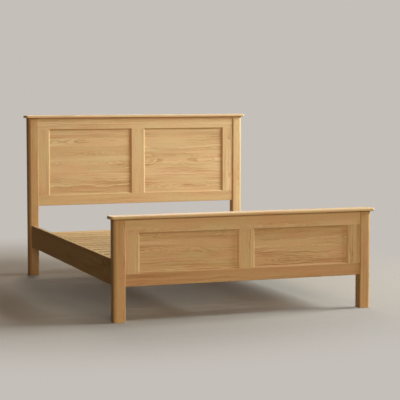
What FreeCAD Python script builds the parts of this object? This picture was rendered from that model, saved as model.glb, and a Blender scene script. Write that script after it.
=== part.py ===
"""Solid oak panel bed for a 1500 x 2000 mm mattress, in millimetres.

X runs across the bed, +Y from the foot to the head, +Z up. The origin is on the floor, under the middle
of the bed. Each end is a pair of posts with a framed panelled board between them and a moulded cap on top.
Two side rails are bolted between the ends with steel angle brackets, and carry ledgers and solid slats.
"""
import FreeCAD, Part
import math
import os
import Sketcher
from FreeCAD import Placement, Rotation, Vector

LEFT, RIGHT = -1, 1
# Threads are left out: wood screws and their holes have six flats, and bolts, sleeves and theirs eight.
SCREW_FLATS, BOLT_FLATS = 6, 8
SIDE_NAMES = {LEFT: "left", RIGHT: "right"}

# Driving dimensions, in millimetres, apart from the counts.
DIMENSIONS = {
    "mattress_width": 1500, "mattress_length": 2000, "mattress_side_gap": 17, "mattress_end_gap": 15,
    "post_width": 70, "post_depth": 64, "post_outer_round": 20, "post_inner_round": 6.5, "post_arris": 2.5,
    "post_foot_bevel": 2,
    "headboard_height": 1135, "headboard_underside": 494,
    "footboard_height": 608, "footboard_underside": 204,
    "cap_thickness": 18, "cap_overhang": 18, "cap_end_overhang": 20,
    "cap_corner_round": 18, "cap_top_round": 9, "cap_lower_bevel": 3,
    "frame_setback": 7, "frame_thickness": 28, "frame_arris": 2,
    "top_rail_height": 89, "bottom_rail_height": 81, "outer_stile_width": 87, "centre_stile_width": 110,
    "frame_bevel": 9, "panel_recess": 9.5, "panel_thickness": 9, "panel_slack": 0.2, "panel_gap": 2,
    "groove_depth": 10, "stub_gap": 1,
    "tenon_length": 30, "tenon_thickness": 12, "tenon_setback": 8, "tenon_shoulder": 14, "tenon_haunch": 20,
    "mortise_gap": 2,
    "side_rail_thickness": 25, "side_rail_height": 152, "side_rail_underside": 202, "side_rail_inset": 18,
    "side_rail_round": 3,
    "slat_count": 16, "slat_width": 75, "slat_gap": 50, "slat_thickness": 18, "slat_end_gap": 3,
    "slat_top": 308, "slat_arris": 2,
    "ledger_thickness": 30, "ledger_height": 40, "ledger_arris": 2,
    "cross_rail_height": 88,
    "beam_width": 45, "beam_height": 70, "beam_end_gap": 1, "beam_slack": 1, "beam_arris": 2,
    "hanger_width": 95, "hanger_height": 67, "hanger_thickness": 22, "hanger_seat": 12, "hanger_bevel": 6,
    "bracket_height": 122, "bracket_rail_leg": 40, "bracket_post_leg": 21, "bracket_thickness": 3,
    "bracket_bend": 4, "bracket_bolt_hole_radius": 4.5, "bracket_screw_hole_radius": 2.75,
    "bracket_bolt_spread": 62, "bracket_screw_spread": 90, "bracket_corner_round": 3,
    "rail_tenon_length": 12, "rail_tenon_thickness": 12, "rail_tenon_height": 110, "rail_mortise_gap": 1,
    "tongue_thickness": 8, "tongue_reach": 8, "tongue_gap": 0.5, "tongue_end": 20,
    "insert_radius": 6, "insert_length": 13, "insert_gap": 1,
    "bolt_radius": 3.95, "bolt_bore_radius": 4, "bolt_length": 14,
    "bolt_head_across": 13, "bolt_head_height": 5.5,
    "slat_screw_radius": 2.25, "slat_screw_head_radius": 4.25, "slat_screw_length": 34,
    "ledger_screw_radius": 2.5, "ledger_screw_head_radius": 5, "ledger_screw_length": 44,
    "ledger_screw_count": 6, "ledger_screw_spread": 1750, "ledger_screw_drop": 28,
    "bracket_screw_radius": 2.5, "bracket_screw_head_radius": 4.8, "bracket_screw_length": 19,
    "bracket_screw_head_height": 2.5,
}


class Size:
    """A length that carries its number together with its expression in the sheet."""

    def __init__(self, number, text=None):
        self.number = float(number)
        self.text = text if text is not None else repr(float(number))

    def combine(self, other, sign, number):
        return Size(number, "(%s %s %s)" % (self.text, sign, size(other).text))

    def __add__(self, other):
        return self.combine(other, "+", self.number + size(other).number)

    def __sub__(self, other):
        return self.combine(other, "-", self.number - size(other).number)

    def __mul__(self, other):
        return self.combine(other, "*", self.number * size(other).number)

    def __truediv__(self, other):
        return self.combine(other, "/", self.number / size(other).number)

    def __neg__(self):
        return Size(-self.number, "(0 - %s)" % self.text)

    def __rmul__(self, other):
        return size(other) * self


def size(value):
    return value if isinstance(value, Size) else Size(value)


def fill_sheet(sheet):
    """Write each driving dimension in a cell of its own, and return them by name."""
    sizes = {}
    for row, (name, number) in enumerate(DIMENSIONS.items(), start=1):
        sheet.set("A%d" % row, name.replace("_", " "))
        sheet.set("B%d" % row, str(number))
        sheet.setAlias("B%d" % row, name)
        sizes[name] = Size(number, "Sizes." + name)
    return sizes


doc = FreeCAD.newDocument("PanelBed")
sheet = doc.addObject("Spreadsheet::Sheet", "Sizes")
D = fill_sheet(sheet)
doc.recompute()

# Places worked out from the driving dimensions.
inner_half = D["mattress_width"] / 2 + D["mattress_side_gap"]
rail_outer = inner_half + D["side_rail_thickness"]
half_width = rail_outer + D["side_rail_inset"]
post_inner = half_width - D["post_width"]
half_inner_length = D["mattress_length"] / 2 + D["mattress_end_gap"]
frame_front = D["frame_setback"]
frame_back = frame_front + D["frame_thickness"]
frame_middle = frame_front + D["frame_thickness"] / 2
groove_front = frame_front + D["panel_recess"]
groove_back = groove_front + D["panel_thickness"] + D["panel_slack"]
tenon_front = frame_front + D["tenon_setback"]
tenon_back = tenon_front + D["tenon_thickness"]
slat_underside = D["slat_top"] - D["slat_thickness"]
slat_pitch = D["slat_width"] + D["slat_gap"]
slat_run = (D["slat_count"] - 1) * slat_pitch
ledger_inner = inner_half - D["ledger_thickness"]
ledger_middle = inner_half - D["ledger_thickness"] / 2
ledger_half_length = (slat_run + D["slat_width"]) / 2
cross_rail_underside = slat_underside - D["cross_rail_height"]
beam_underside = slat_underside - D["beam_height"]
rail_middle_height = D["side_rail_underside"] + D["side_rail_height"] / 2
bolt_place = post_inner + D["post_inner_round"] + D["bracket_post_leg"] / 2 - D["bracket_thickness"] / 2
tongue_front = frame_middle - D["tongue_thickness"] / 2
tongue_back = frame_middle + D["tongue_thickness"] / 2
tongue_groove = D["tongue_reach"] + D["tongue_gap"]
cap_tongue_half = half_width - D["tongue_end"]


class BedEnd:
    """The heights of one end of the bed, whose posts' front faces lie at Y = front."""

    def __init__(self, name, front, height, underside):
        self.name = name
        self.front = front
        self.post_height = height - D["cap_thickness"]
        self.underside = underside
        self.bottom_rail_top = underside + D["bottom_rail_height"]
        self.top_rail_underside = self.post_height - D["top_rail_height"]
        self.tongue_low = self.bottom_rail_top + D["tongue_end"]
        self.tongue_high = self.top_rail_underside - D["tongue_end"]


head = BedEnd("headboard", half_inner_length, D["headboard_height"], D["headboard_underside"])
foot = BedEnd("footboard", -half_inner_length - D["post_depth"], D["footboard_height"],
              D["footboard_underside"])


def bind(thing, path, length):
    thing.setExpression(path, size(length).text)


def new_body(label, y=0):
    """A body at the bed's middle line and on the floor, moved to Y = y."""
    body = doc.addObject("PartDesign::Body", label)
    body.Label = label
    bind(body, "Placement.Base.y", y)
    return body


def origin_feature(body, role):
    return next(item for item in body.Origin.OriginFeatures if item.Role == role)


def new_sketch(body, role, offset=0):
    """A sketch on one of the body's own origin planes, moved by offset along X, Y or Z."""
    sketch = body.newObject("Sketcher::SketchObject", body.Label + "_sketch")
    sketch.AttachmentSupport = (origin_feature(body, role), [""])
    sketch.MapMode = "FlatFace"
    # The plane's normal is +Z or +X, but -Y for the XZ plane.
    along_normal = -size(offset) if role == "XZ_Plane" else size(offset)
    sketch.AttachmentOffset = Placement(Vector(0, 0, along_normal.number), Rotation())
    bind(sketch, "AttachmentOffset.Base.z", along_normal)
    return sketch


def pin(sketch, edge, point, across, up):
    """Hold one point of the sketch at (across, up) from its origin."""
    for kind, length in (("DistanceX", size(across)), ("DistanceY", size(up))):
        number = sketch.addConstraint(Sketcher.Constraint(kind, -1, 1, edge, point, length.number))
        bind(sketch, "Constraints[%d]" % number, length)


def draw_outline(sketch, corners):
    """A closed outline of straight edges through the corners."""
    first = sketch.GeometryCount
    spots = [Vector(size(across).number, size(up).number, 0) for across, up in corners]
    for place, spot in enumerate(spots):
        sketch.addGeometry(Part.LineSegment(spot, spots[(place + 1) % len(spots)]))
    for place in range(len(spots)):
        following = first + (place + 1) % len(spots)
        sketch.addConstraint(Sketcher.Constraint("Coincident", first + place, 2, following, 1))
    for place, (across, up) in enumerate(corners):
        pin(sketch, first + place, 1, across, up)


def draw_rectangle(sketch, left, right, low, high):
    draw_outline(sketch, [(left, low), (right, low), (right, high), (left, high)])


def draw_polygons(sketch, flats, radius, centres):
    """Regular outlines round a circle of that radius, for screws, bolts and their holes."""
    corner = radius / math.cos(math.pi / flats)
    for across, up in centres:
        angles = [math.pi * (2 * place + 1) / flats for place in range(flats)]
        draw_outline(sketch, [(corner * math.cos(angle) + across, corner * math.sin(angle) + up)
                              for angle in angles])


def pad(body, sketch, length, symmetric=False, against_normal=False, taper=0):
    feature = body.newObject("PartDesign::Pad", body.Label + "_pad")
    feature.Profile = sketch
    feature.SideType = "Symmetric" if symmetric else "One side"
    feature.Reversed = against_normal
    feature.TaperAngle = taper
    bind(feature, "Length", length)
    doc.recompute()
    return feature


def cut(body, sketch, depth=None, along_normal=False, taper=0):
    """Pocket the sketch to a depth, or right through, and make sure that it took wood away."""
    before = body.Shape.Volume
    feature = body.newObject("PartDesign::Pocket", body.Label + "_cut")
    feature.Profile = sketch
    feature.Reversed = along_normal
    feature.TaperAngle = taper
    if depth is None:
        feature.Type = "ThroughAll"
    else:
        bind(feature, "Length", depth)
    doc.recompute()
    if body.Shape.Volume > before - 1:
        raise RuntimeError("a pocket in %s cuts nothing" % body.Label)
    return feature


def edges_along(body, axis, **place):
    """Names of the body's straight edges along an axis, with their middles at the given x, y or z."""
    names = []
    for number, edge in enumerate(body.Tip.Shape.Edges, start=1):
        run = edge.lastVertex().Point - edge.firstVertex().Point
        straight = edge.Curve.TypeId == "Part::GeomLine" and abs(run.normalize().dot(axis)) > 0.999
        middle = edge.CenterOfMass
        if straight and all(abs(getattr(middle, key) - size(value).number) < 0.02
                            for key, value in place.items()):
            names.append("Edge%d" % number)
    return names


def edges_level(body, height):
    """Names of the body's edges that lie flat at one height."""
    level = size(height).number
    return ["Edge%d" % number for number, edge in enumerate(body.Tip.Shape.Edges, start=1)
            if all(abs(vertex.Z - level) < 0.02 for vertex in edge.Vertexes)
            and abs(edge.CenterOfMass.z - level) < 0.02]


def dress(body, kind, amount, names):
    """Round (Fillet) or bevel (Chamfer) the named edges of the body."""
    if not names:
        raise RuntimeError("no edge to dress on %s" % body.Label)
    dressed = body.Tip
    feature = body.newObject("PartDesign::" + kind, body.Label + "_" + kind.lower())
    feature.Base = (dressed, names)
    bind(feature, "Radius" if kind == "Fillet" else "Size", amount)
    doc.recompute()
    return feature


def repeat(body, features, steps=(), mirrors=()):
    """Repeat features at even steps, each (axis role, run, count), then mirror them all in the planes."""
    pattern = body.newObject("PartDesign::MultiTransform", body.Label + "_pattern")
    pattern.Originals = features
    turns = []
    for role, run, count in steps:
        row = body.newObject("PartDesign::LinearPattern", body.Label + "_row")
        row.Direction = (origin_feature(body, role), [""])
        bind(row, "Length", run)
        bind(row, "Occurrences", count)
        turns.append(row)
    for role in mirrors:
        mirror = body.newObject("PartDesign::Mirrored", body.Label + "_mirror")
        mirror.MirrorPlane = (origin_feature(body, role), [""])
        turns.append(mirror)
    pattern.Transformations = turns
    body.Tip = pattern
    doc.recompute()


AXIS_X, AXIS_Y, AXIS_Z = Vector(1, 0, 0), Vector(0, 1, 0), Vector(0, 0, 1)


def tenon_heights(outer_edge, inner_edge):
    """From the rail's outer edge to its grooved inner edge, the stretch that the tenon takes."""
    upwards = 1 if inner_edge.number > outer_edge.number else -1
    return outer_edge + upwards * D["tenon_shoulder"], inner_edge - upwards * D["tenon_haunch"]


def rail_edges(end):
    """Outer and inner edge heights of each rail that is tenoned into the posts of this end."""
    edges = [(end.underside, end.bottom_rail_top), (end.post_height, end.top_rail_underside)]
    if end is head:
        edges.append((cross_rail_underside, slat_underside))
    return edges


def bracket_bolt_heights():
    return [rail_middle_height + turn * D["bracket_bolt_spread"] / 2 for turn in (-1, 1)]


def bracket_screw_heights():
    return [rail_middle_height + turn * D["bracket_screw_spread"] / 2 for turn in (-1, 0, 1)]


def draw_rail_tenon(sketch, side):
    """The section of the stub tenon at the end of a side rail."""
    middle = side * (inner_half + D["side_rail_thickness"] / 2)
    half_thickness, half_height = D["rail_tenon_thickness"] / 2, D["rail_tenon_height"] / 2
    draw_rectangle(sketch, middle - half_thickness, middle + half_thickness,
                   rail_middle_height - half_height, rail_middle_height + half_height)


def make_post(end, side):
    """A square post with one large round, mortised for the board's rails and bored for the side rail."""
    body = new_body("%s_%s_post" % (end.name, SIDE_NAMES[side]), end.front)
    inner, outer = side * post_inner, side * half_width
    section = new_sketch(body, "XY_Plane")
    draw_rectangle(section, inner, outer, 0, D["post_depth"])
    pad(body, section, end.post_height)
    dress(body, "Fillet", D["post_outer_round"], edges_along(body, AXIS_Z, x=outer, y=0))
    dress(body, "Fillet", D["post_inner_round"], edges_along(body, AXIS_Z, x=inner, y=0))
    back = edges_along(body, AXIS_Z, x=outer, y=D["post_depth"])
    back += edges_along(body, AXIS_Z, x=inner, y=D["post_depth"])
    dress(body, "Fillet", D["post_arris"], back)
    dress(body, "Chamfer", D["post_foot_bevel"], edges_level(body, 0))

    mortises = new_sketch(body, "YZ_Plane", inner)
    for outer_edge, inner_edge in rail_edges(end):
        draw_rectangle(mortises, tenon_front, tenon_back, *tenon_heights(outer_edge, inner_edge))
    cut(body, mortises, D["tenon_length"] + D["mortise_gap"], along_normal=side == RIGHT)

    stile_groove = new_sketch(body, "YZ_Plane", inner)
    draw_rectangle(stile_groove, tongue_front, tongue_back, end.tongue_low, end.tongue_high)
    cut(body, stile_groove, tongue_groove, along_normal=side == RIGHT)
    cap_groove = new_sketch(body, "XY_Plane", end.post_height)
    draw_rectangle(cap_groove, inner, side * cap_tongue_half, tongue_front, tongue_back)
    cut(body, cap_groove, tongue_groove)

    rail_face = 0 if end is head else D["post_depth"]
    rail_mortise = new_sketch(body, "XZ_Plane", rail_face)
    draw_rail_tenon(rail_mortise, side)
    cut(body, rail_mortise, D["rail_tenon_length"] + D["rail_mortise_gap"], along_normal=end is foot)
    inserts = new_sketch(body, "XZ_Plane", rail_face)
    draw_polygons(inserts, BOLT_FLATS, D["insert_radius"],
                  [(side * bolt_place, z) for z in bracket_bolt_heights()])
    cut(body, inserts, D["insert_length"] + D["insert_gap"], along_normal=end is foot)
    return body


def make_board_rail(end, part, outer_edge, inner_edge):
    """A rail of the framed board: bevelled and grooved along its inner edge, with a tenon at each end."""
    body = new_body("%s_%s" % (end.name, part), end.front)
    inwards = 1 if inner_edge.number > outer_edge.number else -1
    groove_floor = inner_edge - inwards * D["groove_depth"]
    section = new_sketch(body, "YZ_Plane")
    draw_outline(section, [
        (frame_front, outer_edge), (frame_back, outer_edge), (frame_back, inner_edge),
        (groove_back, inner_edge), (groove_back, groove_floor), (groove_front, groove_floor),
        (groove_front, inner_edge), (frame_front + D["frame_bevel"], inner_edge),
        (frame_front, inner_edge - inwards * D["frame_bevel"])])
    pad(body, section, post_inner * 2, symmetric=True)
    if part == "bottom_rail":
        lower = edges_along(body, AXIS_X, y=frame_front, z=outer_edge)
        lower += edges_along(body, AXIS_X, y=frame_back, z=outer_edge)
        dress(body, "Chamfer", D["frame_arris"], lower)
    add_tenons(body, outer_edge, inner_edge)
    if part == "top_rail":
        cap_groove = new_sketch(body, "XY_Plane", outer_edge)
        draw_rectangle(cap_groove, -post_inner, post_inner, tongue_front, tongue_back)
        cut(body, cap_groove, tongue_groove)
    if end is foot and part == "bottom_rail":
        bore_for_hanger(body, frame_back, along_normal=True)
    return body


def add_tenons(body, outer_edge, inner_edge):
    """A tenon on each end of a rail, as one bar that runs through the rail's middle."""
    bar = new_sketch(body, "YZ_Plane")
    draw_rectangle(bar, tenon_front, tenon_back, *tenon_heights(outer_edge, inner_edge))
    pad(body, bar, (post_inner + D["tenon_length"]) * 2, symmetric=True)


def hanger_screw_places():
    reach = (D["hanger_width"] + D["beam_width"]) / 4
    return [(side * reach, beam_underside + D["hanger_height"] / 3) for side in (LEFT, RIGHT)]


def bore_for_hanger(body, face, along_normal):
    """Pilot holes for the two screws of the beam's hanger."""
    pilots = new_sketch(body, "XZ_Plane", face)
    draw_polygons(pilots, SCREW_FLATS, D["ledger_screw_radius"], hanger_screw_places())
    cut(body, pilots, D["ledger_screw_length"] - D["hanger_thickness"], along_normal=along_normal)


def make_cross_rail():
    """The low rail between the head posts, hidden under the slats, that carries the beam's head end."""
    body = new_body("headboard_cross_rail", head.front)
    section = new_sketch(body, "YZ_Plane")
    draw_rectangle(section, frame_front, frame_back, cross_rail_underside, slat_underside)
    pad(body, section, post_inner * 2, symmetric=True)
    lower = edges_along(body, AXIS_X, y=frame_front, z=cross_rail_underside)
    lower += edges_along(body, AXIS_X, y=frame_back, z=cross_rail_underside)
    dress(body, "Chamfer", D["frame_arris"], lower)
    add_tenons(body, cross_rail_underside, slat_underside)
    bore_for_hanger(body, frame_front, along_normal=False)
    return body


def make_stile(end, part, middle, width, bevelled_sides):
    """An upright of the framed board, scribed over the rails' bevels, with stub tenons in their grooves."""
    body = new_body("%s_%s" % (end.name, part), end.front)
    low, high = end.bottom_rail_top, end.top_rail_underside
    stub = D["groove_depth"] - D["stub_gap"]
    bevel_back = frame_front + D["frame_bevel"]
    profile = new_sketch(body, "YZ_Plane", middle)
    draw_outline(profile, [
        (frame_front, low - D["frame_bevel"]), (bevel_back, low), (groove_front, low),
        (groove_front, low - stub), (groove_back, low - stub), (groove_back, low), (frame_back, low),
        (frame_back, high), (groove_back, high), (groove_back, high + stub),
        (groove_front, high + stub), (groove_front, high), (bevel_back, high),
        (frame_front, high + D["frame_bevel"])])
    pad(body, profile, width, symmetric=True)
    for side in bevelled_sides:
        edge = middle + side * width / 2
        dress(body, "Chamfer", D["frame_bevel"], edges_along(body, AXIS_Z, x=edge, y=frame_front))
    grooves = new_sketch(body, "XY_Plane")
    for side in bevelled_sides:
        edge = middle + side * width / 2
        draw_rectangle(grooves, edge - side * D["groove_depth"], edge, groove_front, groove_back)
    cut(body, grooves, along_normal=True)
    return body


def make_outer_stile(end, side):
    middle = side * (post_inner - D["outer_stile_width"] / 2)
    body = make_stile(end, SIDE_NAMES[side] + "_stile", middle, D["outer_stile_width"], [-side])
    groove = new_sketch(body, "YZ_Plane", side * post_inner)
    draw_rectangle(groove, tongue_front, tongue_back, end.tongue_low, end.tongue_high)
    cut(body, groove, tongue_groove, along_normal=side == LEFT)
    return body


def make_panel(end, side):
    """A flat panel that sits on the floor of the lower groove and is free to move in the other three."""
    body = new_body("%s_%s_panel" % (end.name, SIDE_NAMES[side]), end.front)
    hold = D["groove_depth"] - D["panel_gap"]
    near = side * (D["centre_stile_width"] / 2 - hold)
    far = side * (post_inner - D["outer_stile_width"] + hold)
    face = new_sketch(body, "XZ_Plane", groove_front + D["panel_slack"] / 2)
    draw_rectangle(face, near, far, end.bottom_rail_top - D["groove_depth"], end.top_rail_underside + hold)
    pad(body, face, D["panel_thickness"], against_normal=True)
    return body


def make_cap(end):
    """The cap board over the posts and the top rail, with round plan corners and a moulded edge all round."""
    body = new_body(end.name + "_cap", end.front)
    plan = new_sketch(body, "XY_Plane", end.post_height)
    half_length = half_width + D["cap_end_overhang"]
    front, back = -D["cap_overhang"], D["post_depth"] + D["cap_overhang"]
    draw_rectangle(plan, -half_length, half_length, front, back)
    pad(body, plan, D["cap_thickness"])
    corners = [name for y in (front, back) for name in edges_along(body, AXIS_Z, y=y)]
    dress(body, "Fillet", D["cap_corner_round"], corners)
    dress(body, "Fillet", D["cap_top_round"], edges_level(body, end.post_height + D["cap_thickness"]))
    dress(body, "Chamfer", D["cap_lower_bevel"], edges_level(body, end.post_height))
    groove = new_sketch(body, "XY_Plane", end.post_height)
    draw_rectangle(groove, -cap_tongue_half, cap_tongue_half, tongue_front, tongue_back)
    cut(body, groove, tongue_groove, along_normal=True)
    return body


def make_tongues(end):
    """Loose tongues: one under the cap, and one between each outer stile and its post."""
    cap_tongue = new_body(end.name + "_cap_tongue", end.front)
    length = new_sketch(cap_tongue, "XY_Plane", end.post_height)
    draw_rectangle(length, -cap_tongue_half, cap_tongue_half, tongue_front, tongue_back)
    pad(cap_tongue, length, D["tongue_reach"] * 2, symmetric=True)
    stile_tongues = new_body(end.name + "_stile_tongues", end.front)
    ends = new_sketch(stile_tongues, "XY_Plane", end.tongue_low)
    for side in (LEFT, RIGHT):
        draw_rectangle(ends, side * post_inner - D["tongue_reach"], side * post_inner + D["tongue_reach"],
                       tongue_front, tongue_back)
    pad(stile_tongues, ends, end.tongue_high - end.tongue_low)
    return [cap_tongue, stile_tongues]


def make_side_rail(side):
    """A deep rail between the posts, with round arrises and a stub tenon at each end."""
    body = new_body(SIDE_NAMES[side] + "_side_rail")
    low, high = D["side_rail_underside"], D["side_rail_underside"] + D["side_rail_height"]
    section = new_sketch(body, "XZ_Plane")
    draw_rectangle(section, side * inner_half, side * rail_outer, low, high)
    pad(body, section, half_inner_length * 2, symmetric=True)
    arrises = [name for x in (inner_half, rail_outer) for z in (low, high)
               for name in edges_along(body, AXIS_Y, x=side * x, z=z)]
    dress(body, "Fillet", D["side_rail_round"], arrises)
    tenons = new_sketch(body, "XZ_Plane")
    draw_rail_tenon(tenons, side)
    pad(body, tenons, (half_inner_length + D["rail_tenon_length"]) * 2, symmetric=True)
    screws = new_sketch(body, "YZ_Plane", side * inner_half)
    reach = half_inner_length - bracket_screw_reach()
    draw_polygons(screws, SCREW_FLATS, D["bracket_screw_radius"],
                  [(turn * reach, z) for turn in (-1, 1) for z in bracket_screw_heights()])
    cut(body, screws, D["bracket_screw_length"] - D["bracket_thickness"], along_normal=side == RIGHT)
    pilot = new_sketch(body, "YZ_Plane", side * inner_half)
    first_screw = (ledger_screw_first(), ledger_screw_height())
    draw_polygons(pilot, SCREW_FLATS, D["ledger_screw_radius"], [first_screw])
    depth = D["ledger_screw_length"] - D["ledger_thickness"]
    hole = cut(body, pilot, depth, along_normal=side == RIGHT)
    repeat(body, [hole], [ledger_screw_row()])
    return body


def bracket_screw_reach():
    """How far from the post the screws of a bracket stand, in the middle of the flat of its longer leg."""
    return (D["bracket_rail_leg"] + D["bracket_bend"]) / 2


def ledger_screw_first():
    return -D["ledger_screw_spread"] / 2


def ledger_screw_row():
    return "Y_Axis", D["ledger_screw_spread"], D["ledger_screw_count"]


def ledger_screw_height():
    return slat_underside - D["ledger_screw_drop"]


def countersink(body, role, face, places, radius, head_radius, along_normal=False):
    """Clearance holes right through the piece from its face, and the sinks for their screws' heads."""
    holes = new_sketch(body, role, face)
    draw_polygons(holes, SCREW_FLATS, radius, places)
    through = cut(body, holes, along_normal=along_normal)
    sinks = new_sketch(body, role, face)
    draw_polygons(sinks, SCREW_FLATS, head_radius, places)
    sunk = cut(body, sinks, head_radius - radius, along_normal=along_normal, taper=-45)
    return [through, sunk]


def make_ledger(side):
    """The batten inside a side rail that the slats rest on."""
    body = new_body(SIDE_NAMES[side] + "_slat_ledger")
    low = slat_underside - D["ledger_height"]
    section = new_sketch(body, "XZ_Plane")
    draw_rectangle(section, side * ledger_inner, side * inner_half, low, slat_underside)
    pad(body, section, ledger_half_length * 2, symmetric=True)
    dress(body, "Fillet", D["ledger_arris"], edges_along(body, AXIS_Y, x=side * ledger_inner, z=low))
    first_slat = new_sketch(body, "XY_Plane", slat_underside)
    draw_polygons(first_slat, SCREW_FLATS, D["slat_screw_radius"], [(side * ledger_middle, -slat_run / 2)])
    pilot = cut(body, first_slat, D["slat_screw_length"] - D["slat_thickness"])
    repeat(body, [pilot], [("Y_Axis", slat_run, D["slat_count"])])
    first_screw = (ledger_screw_first(), ledger_screw_height())
    holes = countersink(body, "YZ_Plane", side * ledger_inner, [first_screw], D["ledger_screw_radius"],
                        D["ledger_screw_head_radius"], along_normal=side == RIGHT)
    repeat(body, holes, [ledger_screw_row()])
    return body


def make_slat(number):
    """A solid slat across the bed, screwed to both ledgers and resting on the beam."""
    body = new_body("slat_%02d" % number, (number - 1) * slat_pitch - slat_run / 2)
    section = new_sketch(body, "YZ_Plane")
    half = D["slat_width"] / 2
    draw_rectangle(section, -half, half, slat_underside, D["slat_top"])
    pad(body, section, (inner_half - D["slat_end_gap"]) * 2, symmetric=True)
    upper = edges_along(body, AXIS_X, y=-half, z=D["slat_top"])
    upper += edges_along(body, AXIS_X, y=half, z=D["slat_top"])
    dress(body, "Chamfer", D["slat_arris"], upper)
    countersink(body, "XY_Plane", D["slat_top"], [(side * ledger_middle, 0) for side in (LEFT, RIGHT)],
                D["slat_screw_radius"], D["slat_screw_head_radius"])
    return body


def make_beam():
    """The beam under the middle of the slats, from the footboard's rail to the headboard's cross rail."""
    start = foot.front + frame_back + D["beam_end_gap"]
    length = head.front + frame_front - D["beam_end_gap"] - start
    body = new_body("centre_beam")
    section = new_sketch(body, "XZ_Plane", start)
    half = D["beam_width"] / 2
    draw_rectangle(section, -half, half, beam_underside, slat_underside)
    pad(body, section, length, against_normal=True)
    lower = edges_along(body, AXIS_Y, x=-half, z=beam_underside)
    lower += edges_along(body, AXIS_Y, x=half, z=beam_underside)
    dress(body, "Chamfer", D["beam_arris"], lower)
    return body


def make_hanger(label, back_face, reaches_up_y):
    """A slotted block screwed to a rail, open at the top, that one end of the beam drops into."""
    body = new_body(label)
    half, slot = D["hanger_width"] / 2, (D["beam_width"] + D["beam_slack"]) / 2
    low = beam_underside - D["hanger_seat"]
    high = low + D["hanger_height"]
    shape = new_sketch(body, "XZ_Plane", back_face)
    draw_outline(shape, [(-half, low), (half, low), (half, high), (slot, high), (slot, beam_underside),
                         (-slot, beam_underside), (-slot, high), (-half, high)])
    pad(body, shape, D["hanger_thickness"], against_normal=reaches_up_y)
    lower = edges_along(body, AXIS_Y, x=-half, z=low) + edges_along(body, AXIS_Y, x=half, z=low)
    dress(body, "Chamfer", D["hanger_bevel"], lower)
    outer_face = back_face + (1 if reaches_up_y else -1) * D["hanger_thickness"]
    countersink(body, "XZ_Plane", outer_face, hanger_screw_places(), D["ledger_screw_radius"],
                D["ledger_screw_head_radius"], along_normal=reaches_up_y)
    return body


def make_bracket(end, side):
    """A pressed steel angle: its longer leg is screwed to the rail and its shorter one bolted to the post."""
    body = new_body("%s_%s_bracket" % (end.name, SIDE_NAMES[side]),
                    half_inner_length if end is head else -half_inner_length)
    away = -1 if end is head else 1
    corner, thick = side * inner_half, D["bracket_thickness"]
    rail_leg, post_leg = away * D["bracket_rail_leg"], side * (D["bracket_post_leg"] + thick)
    low = rail_middle_height - D["bracket_height"] / 2
    section = new_sketch(body, "XY_Plane", low)
    draw_outline(section, [
        (corner, 0), (corner - post_leg, 0), (corner - post_leg, away * thick),
        (corner - side * thick, away * thick), (corner - side * thick, rail_leg), (corner, rail_leg)])
    pad(body, section, D["bracket_height"])
    dress(body, "Fillet", D["bracket_bend"], edges_along(body, AXIS_Z, x=corner, y=0))
    inner_bend = edges_along(body, AXIS_Z, x=corner - side * thick, y=away * thick)
    dress(body, "Fillet", D["bracket_bend"] - thick, inner_bend)
    leg_corners = [name for z in (low, low + D["bracket_height"])
                   for name in edges_along(body, AXIS_X, y=rail_leg, z=z)]
    dress(body, "Fillet", D["bracket_corner_round"], leg_corners)
    bolts = new_sketch(body, "XZ_Plane")
    draw_polygons(bolts, BOLT_FLATS, D["bracket_bolt_hole_radius"],
                  [(side * bolt_place, z) for z in bracket_bolt_heights()])
    cut(body, bolts, thick, along_normal=end is head)
    screws = new_sketch(body, "YZ_Plane", corner)
    draw_polygons(screws, SCREW_FLATS, D["bracket_screw_hole_radius"],
                  [(away * bracket_screw_reach(), z) for z in bracket_screw_heights()])
    cut(body, screws, thick, along_normal=side == LEFT)
    return body


def bolt_places():
    return [(side * bolt_place, z) for side in (LEFT, RIGHT) for z in bracket_bolt_heights()]


def make_inserts():
    """Threaded sleeves sunk in the posts behind the brackets."""
    body = new_body("threaded_inserts")
    rings = new_sketch(body, "XZ_Plane", half_inner_length)
    draw_polygons(rings, BOLT_FLATS, D["insert_radius"], bolt_places())
    draw_polygons(rings, BOLT_FLATS, D["bolt_bore_radius"], bolt_places())
    sleeves = pad(body, rings, D["insert_length"], against_normal=True)
    repeat(body, [sleeves], mirrors=["XZ_Plane"])
    return body


def make_bolts():
    """Hexagon-head bolts through the brackets into the inserts."""
    body = new_body("bracket_bolts")
    bracket_face = half_inner_length - D["bracket_thickness"]
    heads = new_sketch(body, "XZ_Plane", bracket_face)
    draw_polygons(heads, 6, D["bolt_head_across"] / 2, bolt_places())
    hexagons = pad(body, heads, D["bolt_head_height"])
    shanks = new_sketch(body, "XZ_Plane", bracket_face)
    draw_polygons(shanks, BOLT_FLATS, D["bolt_radius"], bolt_places())
    rods = pad(body, shanks, D["bolt_length"], against_normal=True)
    repeat(body, [hexagons, rods], mirrors=["XZ_Plane"])
    return body


def make_bracket_screws():
    """Pan-head screws through the brackets' longer legs into the side rails."""
    body = new_body("bracket_screws")
    places = [(half_inner_length - bracket_screw_reach(), z) for z in bracket_screw_heights()]
    bracket_face = inner_half - D["bracket_thickness"]
    heads = new_sketch(body, "YZ_Plane", bracket_face)
    draw_polygons(heads, SCREW_FLATS, D["bracket_screw_head_radius"], places)
    pans = pad(body, heads, D["bracket_screw_head_height"], against_normal=True)
    shanks = new_sketch(body, "YZ_Plane", bracket_face)
    draw_polygons(shanks, SCREW_FLATS, D["bracket_screw_radius"], places)
    rods = pad(body, shanks, D["bracket_screw_length"])
    repeat(body, [pans, rods], mirrors=["YZ_Plane", "XZ_Plane"])
    return body


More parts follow.
